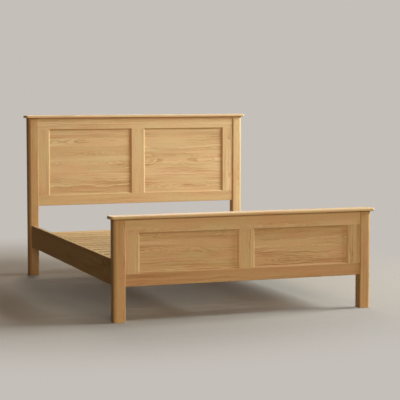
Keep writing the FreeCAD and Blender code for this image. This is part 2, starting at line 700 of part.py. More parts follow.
def pad_countersunk(body, role, face, places, radius, head_radius, length, against_normal=False):
    """Countersunk screws, their heads flush with the face."""
    shanks = new_sketch(body, role, face)
    draw_polygons(shanks, SCREW_FLATS, radius, places)
    rods = pad(body, shanks, length, against_normal=against_normal)
    heads = new_sketch(body, role, face)
    draw_polygons(heads, SCREW_FLATS, head_radius, places)
    cones = pad(body, heads, head_radius - radius, against_normal=against_normal, taper=-45)
    return [rods, cones]


def make_slat_screws():
    body = new_body("slat_screws", -slat_run / 2)
    screws = pad_countersunk(body, "XY_Plane", D["slat_top"],
                             [(side * ledger_middle, 0) for side in (LEFT, RIGHT)], D["slat_screw_radius"],
                             D["slat_screw_head_radius"], D["slat_screw_length"], against_normal=True)
    repeat(body, screws, [("Y_Axis", slat_run, D["slat_count"])])
    return body


def make_ledger_screws():
    body = new_body("ledger_screws", ledger_screw_first())
    screws = pad_countersunk(body, "YZ_Plane", ledger_inner, [(0, ledger_screw_height())],
                             D["ledger_screw_radius"], D["ledger_screw_head_radius"],
                             D["ledger_screw_length"])
    repeat(body, screws, [ledger_screw_row()], ["YZ_Plane"])
    return body


def make_hanger_screws():
    """The screws of both hangers, mirrored about the middle of the beam."""
    foot_face = foot.front + frame_back + D["hanger_thickness"]
    head_face = head.front + frame_front - D["hanger_thickness"]
    body = new_body("hanger_screws", (foot_face + head_face) / 2)
    screws = pad_countersunk(body, "XZ_Plane", (head_face - foot_face) / 2, hanger_screw_places(),
                             D["ledger_screw_radius"], D["ledger_screw_head_radius"],
                             D["ledger_screw_length"], against_normal=True)
    repeat(body, screws, mirrors=["XZ_Plane"])
    return body


def make_end(end):
    """Posts, framed board and cap of one end of the bed."""
    pieces = [make_post(end, side) for side in (LEFT, RIGHT)]
    pieces.append(make_board_rail(end, "bottom_rail", end.underside, end.bottom_rail_top))
    pieces.append(make_board_rail(end, "top_rail", end.post_height, end.top_rail_underside))
    pieces += [make_outer_stile(end, side) for side in (LEFT, RIGHT)]
    pieces.append(make_stile(end, "centre_stile", size(0), D["centre_stile_width"], [LEFT, RIGHT]))
    pieces += [make_panel(end, side) for side in (LEFT, RIGHT)]
    pieces.append(make_cap(end))
    return pieces + make_tongues(end)


def make_bed():
    pieces = make_end(head) + [make_cross_rail()] + make_end(foot)
    for side in (LEFT, RIGHT):
        pieces += [make_side_rail(side), make_ledger(side)]
        pieces += [make_bracket(end, side) for end in (head, foot)]
    pieces += [make_slat(number + 1) for number in range(int(D["slat_count"].number))]
    pieces.append(make_beam())
    pieces.append(make_hanger("beam_hanger_foot", foot.front + frame_back, reaches_up_y=True))
    pieces.append(make_hanger("beam_hanger_head", head.front + frame_front, reaches_up_y=False))
    pieces += [make_inserts(), make_bolts(), make_bracket_screws()]
    pieces += [make_slat_screws(), make_ledger_screws(), make_hanger_screws()]
    return pieces


def check_document(pieces):
    """Stop if anything in the document failed, or a piece has no valid solid."""
    for item in doc.Objects:
        if "Invalid" in item.State or "Error" in item.State:
            raise RuntimeError("%s failed: %s" % (item.Label, item.State))
    for piece in pieces:
        if piece.Shape.isNull() or not piece.Shape.isValid() or not piece.Shape.Solids:
            raise RuntimeError("%s has no valid shape" % piece.Label)


pieces = make_bed()
doc.recompute()
check_document(pieces)
os.makedirs("parts", exist_ok=True)
for piece in pieces:
    piece.Shape.exportStep(os.path.join("parts", piece.Label + ".step"))
print("%d nodes written" % len(pieces))
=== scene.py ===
"""The looks of a light oak panel bed: lacquered oak with real grain, and zinc-plated steel fittings."""
import math

import bmesh
import bpy
from mathutils import Matrix, Vector


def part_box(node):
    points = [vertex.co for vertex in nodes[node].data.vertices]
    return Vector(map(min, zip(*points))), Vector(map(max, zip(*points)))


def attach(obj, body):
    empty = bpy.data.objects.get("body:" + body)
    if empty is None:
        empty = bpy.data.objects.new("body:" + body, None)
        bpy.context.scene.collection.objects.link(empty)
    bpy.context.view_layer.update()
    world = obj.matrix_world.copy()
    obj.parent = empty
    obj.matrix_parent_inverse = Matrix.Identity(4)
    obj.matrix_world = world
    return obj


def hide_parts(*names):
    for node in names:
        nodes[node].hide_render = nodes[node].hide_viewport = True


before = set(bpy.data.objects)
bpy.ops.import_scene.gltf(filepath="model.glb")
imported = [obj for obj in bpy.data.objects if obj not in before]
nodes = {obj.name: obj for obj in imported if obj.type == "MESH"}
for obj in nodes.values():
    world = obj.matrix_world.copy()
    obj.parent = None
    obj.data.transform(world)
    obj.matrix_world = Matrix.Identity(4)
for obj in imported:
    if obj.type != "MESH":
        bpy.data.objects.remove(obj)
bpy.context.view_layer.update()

# ---------------------------------------------------------------- node tree helpers


def add(tree, kind, inputs=None, **settings):
    """A shader node with its settings, and its inputs linked or set by name or number."""
    made = tree.nodes.new(kind)
    for name, value in settings.items():
        setattr(made, name, value)
    for name, value in (inputs or {}).items():
        socket = made.inputs[name]
        if isinstance(value, bpy.types.NodeSocket):
            tree.links.new(value, socket)
        else:
            socket.default_value = value
    return made


def maths(tree, operation, first, second=0.0, third=0.0, clamp=False):
    made = add(tree, "ShaderNodeMath", {0: first, 1: second, 2: third}, operation=operation, use_clamp=clamp)
    return made.outputs[0]


def scaled(tree, vector, scale):
    made = add(tree, "ShaderNodeVectorMath", {0: vector, 1: scale}, operation="MULTIPLY")
    return made.outputs[0]


def pushed(tree, push, reach, place):
    """A place moved by a push, which goes so far along each axis."""
    made = add(tree, "ShaderNodeVectorMath", {0: push, 1: reach, 2: place}, operation="MULTIPLY_ADD")
    return made.outputs[0]


def noise(tree, vector, scale=1.0, detail=2.0, roughness=0.5, distortion=0.0):
    made = add(tree, "ShaderNodeTexNoise", {"Vector": vector, "Scale": scale, "Detail": detail,
                                            "Roughness": roughness, "Distortion": distortion})
    return made.outputs["Fac"]


def wander(tree, place, scale, detail, roughness):
    """A push in all three directions that evens out to nothing."""
    made = add(tree, "ShaderNodeTexNoise", {"Vector": scaled(tree, place, scale), "Scale": 1.0,
                                            "Detail": detail, "Roughness": roughness})
    push = add(tree, "ShaderNodeVectorMath", {0: made.outputs["Color"], 1: (0.5, 0.5, 0.5)},
               operation="SUBTRACT")
    return push.outputs[0]


def ring_noise(tree, radius, scale, detail, roughness=0.5):
    """Noise that is the same all round the tree and changes outwards from its heart."""
    made = add(tree, "ShaderNodeTexNoise", {"W": radius, "Scale": scale, "Detail": detail,
                                            "Roughness": roughness}, noise_dimensions="1D")
    return made.outputs["Fac"]


def remap(tree, value, low, high, new_low, new_high):
    made = add(tree, "ShaderNodeMapRange", {"Value": value, "From Min": low, "From Max": high,
                                            "To Min": new_low, "To Max": new_high})
    return made.outputs[0]


def evened(tree, value, spread):
    """A noise as a number from -1 to 1, which lie the given spread below and above the noise's middle."""
    return remap(tree, value, 0.5 - spread, 0.5 + spread, -1.0, 1.0)


def ramp(tree, value, stops, interpolation="LINEAR"):
    """A colour ramp with stops of (place, colour)."""
    made = add(tree, "ShaderNodeValToRGB", {0: value})
    made.color_ramp.interpolation = interpolation
    elements = made.color_ramp.elements
    while len(elements) > 1:
        elements.remove(elements[-1])
    elements[0].position, elements[0].color = stops[0][0], tuple(stops[0][1]) + (1.0,)
    for place, colour in stops[1:]:
        elements.new(place).color = tuple(colour) + (1.0,)
    return made.outputs[0]


def mix(tree, kind, amount, first, second):
    """Two colours mixed. Blender numbers the colour sockets of its Mix node 6 and 7, and its result 2."""
    made = add(tree, "ShaderNodeMix", data_type="RGBA", blend_type=kind)
    for socket, value in ((made.inputs[0], amount), (made.inputs[6], first), (made.inputs[7], second)):
        if isinstance(value, bpy.types.NodeSocket):
            tree.links.new(value, socket)
        else:
            socket.default_value = value if socket == made.inputs[0] else tuple(value) + (1.0,)
    return made.outputs[2]


def grey(level):
    return (level, level, level)


def linear(red, green, blue):
    """A colour given as it shows on a screen, 0 to 255, as the light it gives."""
    return tuple((part / 255 / 12.92) if part <= 10 else ((part / 255 + 0.055) / 1.055) ** 2.4
                 for part in (red, green, blue))


def new_material(name):
    """An empty material, its node tree, and the place on the object that its nodes read."""
    material = bpy.data.materials.new(name)
    material.use_nodes = True
    tree = material.node_tree
    tree.nodes.clear()
    return material, tree, add(tree, "ShaderNodeTexCoord").outputs["Object"]


# ---------------------------------------------------------------- oak

OAK_LIGHT = linear(226, 195, 152)
OAK_MIDDLE = linear(205, 169, 123)
OAK_DARK = linear(166, 118, 73)
OAK_PORE = linear(118, 78, 46)
OLIVE_CAST = (0.97, 1.0, 0.945)
ROSY_CAST = (1.0, 0.895, 0.885)
BEECH_COLOURS = (linear(232, 200, 168), linear(216, 176, 140), linear(190, 146, 110), linear(160, 112, 80))

# How the tree grew. Scales are per metre, along the grain and twice across it. Widths and reaches are in
# metres.
RING_WIDTH = 0.0032
BEND_SCALE, BEND_REACH = (1.1, 0.7, 0.7), (0.0, 0.045, 0.045)
WAVE_SCALE, WAVE_REACH = (6.0, 15.0, 15.0), (0.0, 0.024, 0.024)
WEATHER_SCALE, WEATHER_YEARS = 55.0, 5.0
SPELL_SCALE = 170.0

# Marks in the wood, long along the grain and narrow across it.
STREAK_SCALE = (2.0, 42.0, 42.0)
NARROW_SCALE = (5.0, 210.0, 210.0)
FIBRE_SCALE = (18.0, 1100.0, 1100.0)
PORE_SCALE = (85.0, 2600.0, 2600.0)
PATCH_SCALE = (2.2, 11.0, 11.0)
HUE_SCALE = (3.2, 17.0, 17.0)

# How crowded the pores are through one ring, from spring to winter.
PORES_IN_RING = [(0.0, grey(0.75)), (0.06, grey(1.0)), (0.3, grey(0.7)), (0.48, grey(0.1)),
                 (0.94, grey(0.02)), (1.0, grey(0.75))]

# Each kind of mark: how far its noise strays from its middle, and how much it lightens or darkens the wood.
STREAK_SPREAD, STREAK_STRENGTH = 0.2, 0.34
SPELL_SPREAD, SPELL_STRENGTH = 0.2, 0.34
YEAR_SPREAD, YEAR_STRENGTH = 0.5, 0.20
NARROW_SPREAD, NARROW_STRENGTH = 0.16, 0.16
FIBRE_SPREAD, FIBRE_STRENGTH = 0.2, 0.14
SPRING_STRENGTH = -0.5

# Where a noise starts and ends its change: into a pore, from faint figure to strong, and from olive to rosy.
PORE_EDGE = (0.53, 0.66)
PATCH_EDGE, FAINT_PATCH, STRONG_PATCH = (0.38, 0.62), 0.35, 1.7
OLIVE_PLACE, ROSY_PLACE = 0.34, 0.66

# The shades at the two ends of the wood's colours, and the place of the middle colour between them.
DARKEST_SHADE, LIGHTEST_SHADE, MIDDLE_PLACE = -1.5, 1.1, 0.52

# How much of the wood's colour a pore hides.
PORE_COVER = 0.62

# The lacquer, and what the fibres and the pores add to its roughness and its height.
LACQUER_ROUGHNESS, FIBRE_ROUGHNESS, PORE_ROUGHNESS = 0.36, 0.14, 0.25
FIBRE_HEIGHT = 0.3
GRAIN_BUMP, GRAIN_DEPTH = 0.4, 0.00025
LACQUER_SHINE = 0.32


def make_wood_group(name, light, middle, dark, pore):
    """Wood as a solid. The rings lie about the tree's heart, which runs along X at Y = Z = 0.

    Tone is one board's colour, from about -1, dark, to 1, light; where it is raised on the arrises and the
    top rails it is painted light. Figure is how strongly its rings show.
    """
    group = bpy.data.node_groups.new(name, "ShaderNodeTree")
    for label, kind in (("Place", "NodeSocketVector"), ("Tone", "NodeSocketFloat"),
                        ("Figure", "NodeSocketFloat")):
        group.interface.new_socket(label, in_out="INPUT", socket_type=kind)
    for label, kind in (("Color", "NodeSocketColor"), ("Roughness", "NodeSocketFloat"),
                        ("Height", "NodeSocketFloat")):
        group.interface.new_socket(label, in_out="OUTPUT", socket_type=kind)
    inside = add(group, "NodeGroupInput")
    place, tone, figure = inside.outputs["Place"], inside.outputs["Tone"], inside.outputs["Figure"]

    # The heart wanders slowly as the tree grows, which draws the arches of a plain-sawn face,
    # and every ring has small waves of its own.
    bend = wander(group, place, BEND_SCALE, detail=1.0, roughness=0.4)
    wave = wander(group, place, WAVE_SCALE, detail=3.0, roughness=0.5)
    grown = pushed(group, wave, WAVE_REACH, pushed(group, bend, BEND_REACH, place))
    section = scaled(group, grown, (0.0, 1.0, 1.0))
    radius = add(group, "ShaderNodeVectorMath", {0: section}, operation="LENGTH").outputs["Value"]
    weather = ring_noise(group, radius, WEATHER_SCALE, detail=1.0)
    age = maths(group, "MULTIPLY_ADD", weather, WEATHER_YEARS, maths(group, "DIVIDE", radius, RING_WIDTH))
    season = maths(group, "FRACT", age)
    year = add(group, "ShaderNodeTexWhiteNoise", {"W": maths(group, "FLOOR", age)},
               noise_dimensions="1D").outputs["Value"]
    spell = ring_noise(group, radius, SPELL_SCALE, detail=2.0, roughness=0.6)

    # Colour drawn out along the grain: broad streaks, narrow ones and single fibres.
    streaks = noise(group, scaled(group, place, STREAK_SCALE), detail=4.0, roughness=0.62, distortion=0.3)
    narrow = noise(group, scaled(group, place, NARROW_SCALE), detail=3.0, roughness=0.6)
    fibres = noise(group, scaled(group, place, FIBRE_SCALE), detail=3.0, roughness=0.65)

    # Pores: short dark dashes, crowded in the spring wood and few in the summer wood.
    dashes = noise(group, scaled(group, place, PORE_SCALE), detail=2.0, roughness=0.5)
    spring = ramp(group, season, PORES_IN_RING)
    pores = maths(group, "MULTIPLY", remap(group, dashes, *PORE_EDGE, 0.0, 1.0), spring, clamp=True)

    marks = maths(group, "MULTIPLY", evened(group, streaks, STREAK_SPREAD), STREAK_STRENGTH)
    marks = maths(group, "MULTIPLY_ADD", evened(group, spell, SPELL_SPREAD), SPELL_STRENGTH, marks)
    marks = maths(group, "MULTIPLY_ADD", evened(group, year, YEAR_SPREAD), YEAR_STRENGTH, marks)
    marks = maths(group, "MULTIPLY_ADD", evened(group, narrow, NARROW_SPREAD), NARROW_STRENGTH, marks)
    marks = maths(group, "MULTIPLY_ADD", spring, SPRING_STRENGTH, marks)
    patch = noise(group, scaled(group, place, PATCH_SCALE), detail=1.0)
    marks = maths(group, "MULTIPLY", marks, remap(group, patch, *PATCH_EDGE, FAINT_PATCH, STRONG_PATCH))
    shade = maths(group, "MULTIPLY_ADD", marks, figure, tone)
    shade = maths(group, "MULTIPLY_ADD", evened(group, fibres, FIBRE_SPREAD), FIBRE_STRENGTH, shade)
    level = remap(group, shade, DARKEST_SHADE, LIGHTEST_SHADE, 0.0, 1.0)
    colour = ramp(group, level, [(0.0, dark), (MIDDLE_PLACE, middle), (1.0, light)])
    hue = noise(group, scaled(group, place, HUE_SCALE), detail=3.0, roughness=0.6)
    hue = ramp(group, hue, [(OLIVE_PLACE, OLIVE_CAST), (ROSY_PLACE, ROSY_CAST)])
    colour = mix(group, "MULTIPLY", 1.0, colour, hue)
    colour = mix(group, "MIX", maths(group, "MULTIPLY", pores, PORE_COVER), colour, pore)

    rough = maths(group, "MULTIPLY_ADD", fibres, FIBRE_ROUGHNESS, LACQUER_ROUGHNESS)
    rough = maths(group, "MULTIPLY_ADD", pores, PORE_ROUGHNESS, rough)
    sunk = maths(group, "MULTIPLY", spring, -FIBRE_HEIGHT)
    height = maths(group, "MULTIPLY_ADD", fibres, FIBRE_HEIGHT, sunk)
    height = maths(group, "SUBTRACT", height, pores)
    add(group, "NodeGroupOutput", {"Color": colour, "Roughness": rough, "Height": height})
    return group


oak_group = make_wood_group("oak_wood", OAK_LIGHT, OAK_MIDDLE, OAK_DARK, OAK_PORE)
beech_group = make_wood_group("beech_wood", *BEECH_COLOURS)

# Turns a board's own grain onto the group's X.
GRAIN_TURNS = {"X": (0.0, 0.0, 0.0), "Y": (0.0, 0.0, -math.pi / 2), "Z": (0.0, math.pi / 2, 0.0)}


def turned(point, grain):
    """A point after the grain's turn, as the Mapping node turns it."""
    x, y, z = point
    return {"X": (x, y, z), "Y": (y, -x, z), "Z": (z, y, -x)}[grain]


def make_board_material(name, grain, centre, heart, tone, figure, staves=(), shine=LACQUER_SHINE,
                        wood_group=oak_group):
    """Lacquered wood for one board.

    heart says where the board's middle lay in its tree: along it, and the two ways across from its heart.
    staves gives the strips that a wide board is glued from, as (top edge, tone, depth, lean).
    """
    material, tree, seen = new_material(name)
    middle = turned(centre, grain)
    move = tuple(heart[axis] - middle[axis] for axis in range(3))
    place = add(tree, "ShaderNodeMapping", {"Vector": seen, "Location": move,
                                            "Rotation": GRAIN_TURNS[grain]}).outputs[0]
    wood = add(tree, "ShaderNodeGroup", {}, node_tree=wood_group)
    wood.inputs["Figure"].default_value = figure
    if staves:
        place, tone = part_into_staves(tree, seen, place, staves, centre[2])
        tree.links.new(tone, wood.inputs["Tone"])
    else:
        wood.inputs["Tone"].default_value = tone
    tree.links.new(place, wood.inputs["Place"])
    bump = add(tree, "ShaderNodeBump", {"Height": wood.outputs["Height"], "Strength": GRAIN_BUMP,
                                        "Distance": GRAIN_DEPTH})
    shader = add(tree, "ShaderNodeBsdfPrincipled",
                 {"Base Color": wood.outputs["Color"], "Roughness": wood.outputs["Roughness"],
                  "Normal": bump.outputs[0], "Specular IOR Level": shine})
    add(tree, "ShaderNodeOutputMaterial", {"Surface": shader.outputs[0]})
    return material


# A ramp's colours lie between 0 and 1, so each strip's place is kept there as a part of the furthest one. The
# ramp reaches further than half of any panel. A panel's lowest strip counts as 90 mm wide. Two strips whose
# tones differ by 1 are cut 4.5 m apart along the tree, which is half of STAVES_APART.
STAVE_SPREAD = 0.4
PANEL_HALF = 0.3
LOWEST_STAVE = 0.09
STAVES_APART = 9.0
STAVE_CONTRAST = 1.4


def part_into_staves(tree, seen, place, staves, middle):
    """Give each strip of a glued-up board its own tone and its own place in the tree.

    Each is cut at its depth from the heart, with its middle leaning sideways from it.
    """
    low, high = middle - PANEL_HALF, middle + PANEL_HALF
    stops, bottom = [], low
    for top, tone, depth, lean in staves:
        shift = middle - (max(bottom, staves[0][0] - LOWEST_STAVE) + top) / 2 + lean
        packed = (tone / 2 + 0.5, depth / STAVE_SPREAD, shift / STAVE_SPREAD / 2 + 0.5)
        stops.append(((bottom - low) / (high - low), packed))
        bottom = top
    height = add(tree, "ShaderNodeSeparateXYZ", {0: seen}).outputs["Z"]
    chosen = ramp(tree, remap(tree, height, low, high, 0.0, 1.0), stops, "CONSTANT")
    moved = pushed(tree, chosen, (STAVES_APART, STAVE_SPREAD, STAVE_SPREAD * 2), (0.0, 0.0, -STAVE_SPREAD))
    place = add(tree, "ShaderNodeVectorMath", {0: place, 1: moved}, operation="ADD").outputs[0]
    first = add(tree, "ShaderNodeSeparateXYZ", {0: chosen}).outputs["X"]
    return place, maths(tree, "MULTIPLY_ADD", first, STAVE_CONTRAST * 2, -STAVE_CONTRAST)


# ---------------------------------------------------------------- zinc-plated steel

BLOTCH_SCALE, STEEL_GRAIN_SCALE = 180.0, 1600.0
BLOTCH_LOW, BLOTCH_HIGH = 0.3, 0.7
DULL_PART = 0.8
BRIGHT_ROUGHNESS, DULL_ROUGHNESS = 0.28, 0.45
STEEL_BUMP, STEEL_GRAIN_DEPTH = 0.15, 0.0002


def make_steel_material(name, colour):
    """Zinc-plated steel, a little blotchy and finely grained."""
    material, tree, place = new_material(name)
    blotches = noise(tree, place, scale=BLOTCH_SCALE, detail=3.0)
    grain = noise(tree, place, scale=STEEL_GRAIN_SCALE, detail=2.0)
    tint = ramp(tree, blotches, [(BLOTCH_LOW, [part * DULL_PART for part in colour]), (BLOTCH_HIGH, colour)])
    rough = remap(tree, blotches, BLOTCH_LOW, BLOTCH_HIGH, BRIGHT_ROUGHNESS, DULL_ROUGHNESS)
    bump = add(tree, "ShaderNodeBump", {"Height": grain, "Strength": STEEL_BUMP,
                                        "Distance": STEEL_GRAIN_DEPTH})
    shader = add(tree, "ShaderNodeBsdfPrincipled", {"Base Color": tint, "Metallic": 1.0, "Roughness": rough,
                                                    "Normal": bump.outputs[0]})
    add(tree, "ShaderNodeOutputMaterial", {"Surface": shader.outputs[0]})
    return material


# ---------------------------------------------------------------- boards

# Strips of the four panels, from the bottom up: top edge, tone, depth from the tree's heart and lean from it.
PANEL_STAVES = {
    "headboard_left_panel": [(0.617, -0.30, 0.035, 0.010), (0.676, -0.05, 0.090, 0.050),
                             (0.785, 0.10, 0.070, -0.070), (0.842, 0.12, 0.060, 0.030),
                             (0.908, -0.15, 0.030, 0.020), (0.968, 0.08, 0.045, -0.012),
                             (1.100, -0.18, 0.026, 0.004)],
    "headboard_right_panel": [(0.622, -0.08, 0.060, -0.030), (0.690, 0.02, 0.080, 0.060),
                              (0.812, 0.22, 0.100, -0.050), (0.884, 0.00, 0.034, 0.016),
                              (0.974, 0.06, 0.090, 0.060), (1.100, -0.14, 0.030, -0.010)],
    "footboard_left_panel": [(0.335, 0.05, 0.080, 0.050), (0.398, 0.16, 0.060, -0.040),
                             (0.458, 0.12, 0.034, 0.016), (0.600, 0.08, 0.070, 0.030)],
    "footboard_right_panel": [(0.318, -0.10, 0.080, -0.060), (0.390, 0.00, 0.080, 0.050),
                              (0.432, 0.12, 0.050, 0.030), (0.600, -0.14, 0.050, 0.090)],
}

# Where along the tree each panel was cut, chosen for its figure.
PANEL_PLACES = {"headboard_left_panel": 104.42, "headboard_right_panel": 115.11,
                "footboard_left_panel": 43.85, "footboard_right_panel": 55.91}

# The tone of each board that stands out. The top rails' raised tones are painted light that lifts the shade
# under the caps. The others differ a little by their place in the list.
BOARD_TONES_AND_PAINTED_LIGHT = {"headboard_left_post": -0.8, "headboard_bottom_rail": -0.25, "headboard_top_rail": 0.2,
               "footboard_bottom_rail": -0.65, "footboard_left_post": -0.36, "footboard_right_post": -0.4,
               "left_side_rail": 0.1, "footboard_right_stile": -0.12, "footboard_top_rail": 0.5,
               "headboard_cap": 0.18, "footboard_cap": 0.02, "headboard_left_stile": -0.2,
               "headboard_right_stile": 0.2, "headboard_centre_stile": -0.02, "footboard_left_stile": 0.22,
               "footboard_centre_stile": 0.06, "headboard_right_post": 0.15}
TONE_STEP = 0.05

# How strongly each kind of board shines, by a word in its name. The others have BOARD_SHINE.
SHINES = (("cap", 0.18), ("side_rail", 0.0), ("post", 0.03), ("slat_", 0.0), ("ledger", 0.0), ("beam", 0.0),
          ("cross_rail", 0.05))
BOARD_SHINE = 0.2

# How strongly the rings show on each kind of wood.
PANEL_FIGURE, BOARD_FIGURE, ARRIS_FIGURE, TONGUE_FIGURE = 1.15, 0.8, 0.5, 0.4


def grain_of(name):
    """The axis that a piece's grain runs along."""
    if "post" in name or "stile" in name:
        return "Z"
    if "side_rail" in name or "ledger" in name or name == "centre_beam":
        return "Y"
    return "X"


# In metres: how far apart along the tree two boards next to each other in the list are cut, their least
# distance from the heart, its steps, and the steps sideways.
BOARDS_APART = 3.7
NEAREST, NEAR_STEP, ASIDE_STEP = 0.03, 0.013, 0.02


def heart_of(name, index):
    """Where the board's middle lay in its tree. A slat's broad face looks up, so its rings are turned."""
    if name in PANEL_PLACES:
        return (PANEL_PLACES[name], 0.0, 0.0)
    along = index * BOARDS_APART
    near = NEAREST + NEAR_STEP * (index % 5)
    aside = ASIDE_STEP * (index % 7 - 3)
    return (along, aside, near) if name.startswith("slat_") else (along, near, aside)


def select_only(piece):
    """Leave nothing selected but this piece."""
    bpy.ops.object.select_all(action="DESELECT")
    piece.select_set(True)
    bpy.context.view_layer.objects.active = piece


def give_material(name, material):
    """Give a CAD node its material."""
    mesh = nodes[name].data
    mesh.materials.clear()
    mesh.materials.append(material)


OAK_ARRIS, STEEL_ARRIS = 0.0007, 0.0003
ARRIS_SEGMENTS = 2
LONG_EDGE = 0.008
SHARP_EDGE = math.radians(30)
FLAT_FACE = math.radians(0.5)
SAME_POINT, ARRIS_POINT = 1e-5, 2e-5
LARGE_FACES_LEAD = 100

# How far in from a board's outside its sanded edges lie: as deep as the bevel round the panels, but on a post
# not as deep as its mortises.
FRAME_REACH = 0.010
POST_REACH = 0.003


def ease_board(name, arris, materials):
    """A merged copy of a CAD board whose long sharp edges are sanded to a fine arris."""
    piece = bpy.data.objects.new(name + "_board", nodes[name].data.copy())
    bpy.context.scene.collection.objects.link(piece)
    select_only(piece)
    mesh = piece.data
    mesh.materials.clear()
    for material in materials:
        mesh.materials.append(material)
    bpy.ops.object.mode_set(mode="EDIT")
    bpy.ops.mesh.select_all(action="SELECT")
    bpy.ops.mesh.remove_doubles(threshold=SAME_POINT)
    bpy.ops.mesh.dissolve_limited(angle_limit=FLAT_FACE)
    bpy.ops.object.mode_set(mode="OBJECT")
    bpy.ops.object.shade_smooth_by_angle(angle=SHARP_EDGE)
    mark_outer_edges(mesh, POST_REACH if "post" in name else FRAME_REACH)
    bevel = piece.modifiers.new("arris", "BEVEL")
    bevel.width = arris
    bevel.segments = ARRIS_SEGMENTS
    bevel.limit_method = "WEIGHT"
    # The bevelled faces take the last material; on oak that is the lighter arris, a painted highlight.
    bevel.material = len(materials) - 1
    bpy.ops.object.modifier_apply(modifier=bevel.name)
    bpy.ops.object.mode_set(mode="EDIT")
    bpy.ops.mesh.select_all(action="SELECT")
    bpy.ops.mesh.remove_doubles(threshold=ARRIS_POINT)
    bpy.ops.mesh.dissolve_degenerate(threshold=SAME_POINT)
    bpy.ops.object.mode_set(mode="OBJECT")
    flat = piece.modifiers.new("flat_faces", "WEIGHTED_NORMAL")
    flat.keep_sharp = True
    flat.weight = LARGE_FACES_LEAD
    bpy.ops.object.modifier_apply(modifier=flat.name)
    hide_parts(name)
    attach(piece, "root")


def corners_of(points):
    """The lowest and the highest corner of the box round some points."""
    low = Vector([min(point[axis] for point in points) for axis in range(3)])
    high = Vector([max(point[axis] for point in points) for axis in range(3)])
    return low, high


def mark_outer_edges(mesh, reach):
    """Give a bevel weight to the long outer edges, which a block of sandpaper reaches, not to the joints'."""
    work = bmesh.new()
    work.from_mesh(mesh)
    weight = work.edges.layers.float.new("bevel_weight_edge")
    low, high = corners_of([point.co for point in work.verts])
    for edge in work.edges:
        sides = sum(max(point.co[axis] - low[axis] for point in edge.verts) < reach or
                    max(high[axis] - point.co[axis] for point in edge.verts) < reach for axis in range(3))
        if sides > 1 and len(edge.link_faces) == 2 and edge.calc_length() > LONG_EDGE:
            if edge.calc_face_angle(0.0) > SHARP_EDGE:
                edge[weight] = 1.0
    work.to_mesh(mesh)
    work.free()


# ---------------------------------------------------------------- screws

HEAD_SIDES = 24
HEAD_PROUD = 0.00015
RIM_THICKNESS = 0.0004
SINK_FLATS = 6

# The rounded top of a pan head, as parts of its radius and its height, and the edge below it.
PAN_RINGS = ((0.4, 0.0), (0.62, 0.09), (0.8, 0.25), (0.95, 0.56))
PAN_EDGE = 0.0002

# Faces that meet at less than this look round.
HEAD_ROUND = math.radians(40)

# How long the point is, and how wide its last ring is, as a part of the shank.
POINT_LENGTH = 0.006
POINT_PART = 0.2

# The cross: each arm's width and the size of its floor, as parts of its reach and its mouth.
ARM_WIDTH = 0.42
RECESS_TAPER = 0.45

# The turn of the cross from one screw to the next, in radians.
HEAD_TURN = 0.61

# A face looks down if its normal's height is below this.
FACES_DOWN = -0.9


def countersunk(head, shank, length):
    """Rings of a countersunk screw, from the top of its head down to where its point starts.

    Its head stands a hair proud, and its round rim covers the corners of the six-sided countersink.
    """
    rim = head / math.cos(math.pi / SINK_FLATS)
    return [(rim - HEAD_PROUD, HEAD_PROUD), (rim, 0.0), (head, -RIM_THICKNESS),
            (shank, -RIM_THICKNESS - (head - shank)), (shank, POINT_LENGTH - length),
            (shank * POINT_PART, shank * POINT_PART - length)]


def pan_headed(head, height, shank, length):
    """Rings of a pan-headed screw, from the top of its head down to where its point starts."""
    top = [(head * wide, -height * drop) for wide, drop in PAN_RINGS]
    return top + [(head, PAN_EDGE - height), (head - PAN_EDGE / 2, -height), (shank, -height),
                  (shank, POINT_LENGTH - length), (shank * POINT_PART, shank * POINT_PART - length)]


def make_screw(name, rings, recess_depth, recess_reach, material):
    """A screw that stands on its point, its head level with the origin and with a cross recess in it."""
    bpy.ops.object.select_all(action="DESELECT")
    radius, height = rings[0]
    bpy.ops.mesh.primitive_circle_add(vertices=HEAD_SIDES, radius=radius, fill_type="NGON",
                                      location=(0.0, 0.0, height))
    screw = bpy.context.object
    screw.name = name
    bpy.ops.object.transform_apply(location=True, rotation=True, scale=True)
    bpy.ops.object.mode_set(mode="EDIT")
    bpy.ops.mesh.select_all(action="SELECT")
    for next_radius, next_height in rings[1:]:
        bpy.ops.mesh.extrude_region_move(
            TRANSFORM_OT_translate={"value": (0.0, 0.0, next_height - height)})
        part = next_radius / radius
        bpy.ops.transform.resize(value=(part, part, 1.0), center_override=(0.0, 0.0, next_height))
        radius, height = next_radius, next_height
    bpy.ops.mesh.extrude_region_move(TRANSFORM_OT_translate={"value": (0.0, 0.0, -radius)})
    bpy.ops.mesh.merge(type="CENTER")
    bpy.ops.mesh.select_all(action="SELECT")
    bpy.ops.mesh.normals_make_consistent(inside=False)
    bpy.ops.object.mode_set(mode="OBJECT")
    cut_recess(screw, recess_depth, recess_reach)
    select_only(screw)
    bpy.ops.object.mode_set(mode="EDIT")
    bpy.ops.mesh.select_all(action="SELECT")
    bpy.ops.mesh.remove_doubles(threshold=ARRIS_POINT)
    bpy.ops.mesh.normals_make_consistent(inside=False)
    bpy.ops.object.mode_set(mode="OBJECT")
    screw.data.materials.clear()
    screw.data.materials.append(material)
    bpy.ops.object.shade_smooth_by_angle(angle=HEAD_ROUND)
    return screw


